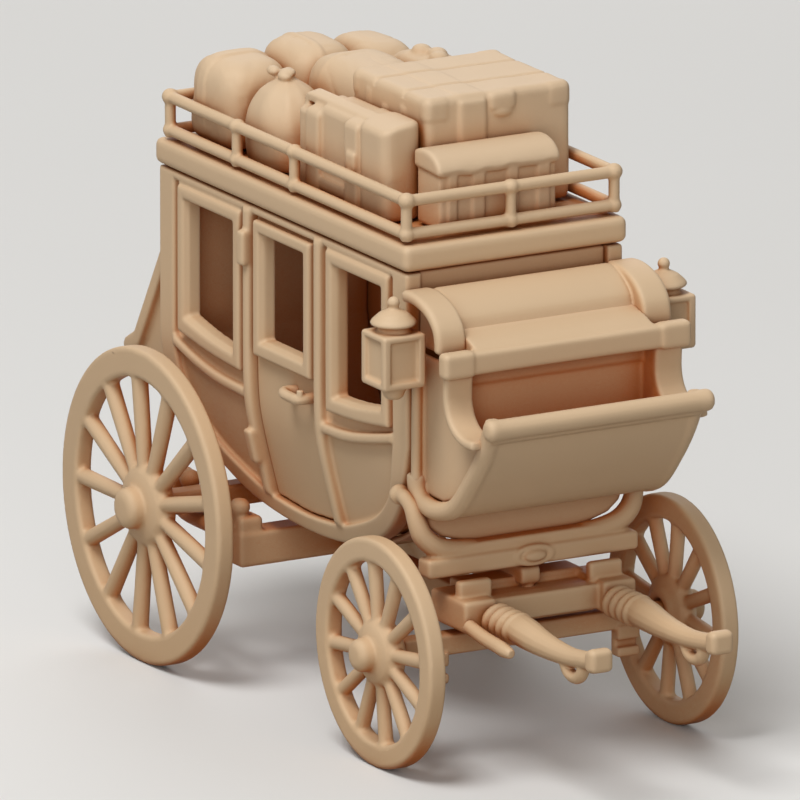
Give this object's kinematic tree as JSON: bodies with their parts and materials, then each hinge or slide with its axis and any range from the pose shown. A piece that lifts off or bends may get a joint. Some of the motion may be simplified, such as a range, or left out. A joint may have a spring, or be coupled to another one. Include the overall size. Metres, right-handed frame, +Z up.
{
  "type": "model stagecoach",
  "caption": "Tabletop model of a horse-drawn stagecoach with luggage on its railed roof, turning wheels, steering front carriage and opening doors.",
  "frame": {"origin": "centre of the bounding box's footprint, at the height of the wheels' lowest points", "axes": "+X forward towards the shafts, +Y to the coach's left, +Z up"},
  "size_m": [0.1342, 0.0618, 0.0956],
  "materials": {
    "body_resin": "matt cast resin",
    "gear_resin": "matt cast resin",
    "load_resin": "matt cast resin"
  },
  "bodies": {
    "coach": {"side_panel_left": "body_resin", "side_panel_right": "body_resin", "front_wall": "body_resin", "rear_wall": "body_resin", "floor": "body_resin", "roof": "body_resin", "roof_rail": "body_resin", "driver_box": "body_resin", "dash_board": "body_resin", "seat_board": "body_resin", "seat_back": "body_resin", "lamp_left": "body_resin", "lamp_right": "body_resin", "rear_boot": "body_resin", "big_chest": "load_resin", "front_trunk": "load_resin", "side_trunk": "load_resin", "tied_sack": "load_resin", "rear_bedroll": "load_resin", "rear_sack": "load_resin", "middle_sack": "load_resin", "far_sack": "load_resin", "far_bale": "load_resin", "perch": "gear_resin", "rear_axle": "gear_resin", "rear_bolster": "gear_resin", "rear_spring_bar_left": "gear_resin", "rear_spring_bar_right": "gear_resin", "front_cradle": "gear_resin", "thoroughbrace_left": "gear_resin", "thoroughbrace_right": "gear_resin"},
    "front_carriage": {"front_axle": "gear_resin", "axle_bed": "gear_resin", "shaft_left": "gear_resin", "shaft_right": "gear_resin", "side_rod_left": "gear_resin", "side_rod_right": "gear_resin"},
    "door_left": {"door_left": "body_resin"},
    "door_right": {"door_right": "body_resin"},
    "wheel_front_left": {"wheel_front_left": "gear_resin"},
    "wheel_front_right": {"wheel_front_right": "gear_resin"},
    "wheel_rear_left": {"wheel_rear_left": "gear_resin"},
    "wheel_rear_right": {"wheel_rear_right": "gear_resin"}
  },
  "joints": [
    {"name": "steering", "type": "hinge", "parent": "coach", "child": "front_carriage", "pos_m": [0.0257, 0, 0.022], "axis": [0, 0, 1], "range_deg": [-25, 25]},
    {"name": "door_left_hinge", "type": "hinge", "parent": "coach", "child": "door_left", "pos_m": [-0.02575, 0.0183, 0.05], "axis": [0, 0, 1], "range_deg": [0, 50]},
    {"name": "door_right_hinge", "type": "hinge", "parent": "coach", "child": "door_right", "pos_m": [-0.02575, -0.0183, 0.05], "axis": [0, 0, -1], "range_deg": [0, 50]},
    {"name": "wheel_rear_left_spin", "type": "hinge", "parent": "coach", "child": "wheel_rear_left", "pos_m": [-0.042, 0.02625, 0.024], "axis": [0, 1, 0], "continuous": true},
    {"name": "wheel_rear_right_spin", "type": "hinge", "parent": "coach", "child": "wheel_rear_right", "pos_m": [-0.042, -0.02625, 0.024], "axis": [0, 1, 0], "continuous": true},
    {"name": "wheel_front_left_spin", "type": "hinge", "parent": "front_carriage", "child": "wheel_front_left", "pos_m": [0.0257, 0.02485, 0.0173], "axis": [0, 1, 0], "continuous": true},
    {"name": "wheel_front_right_spin", "type": "hinge", "parent": "front_carriage", "child": "wheel_front_right", "pos_m": [0.0257, -0.02485, 0.0173], "axis": [0, 1, 0], "continuous": true}
  ]
}
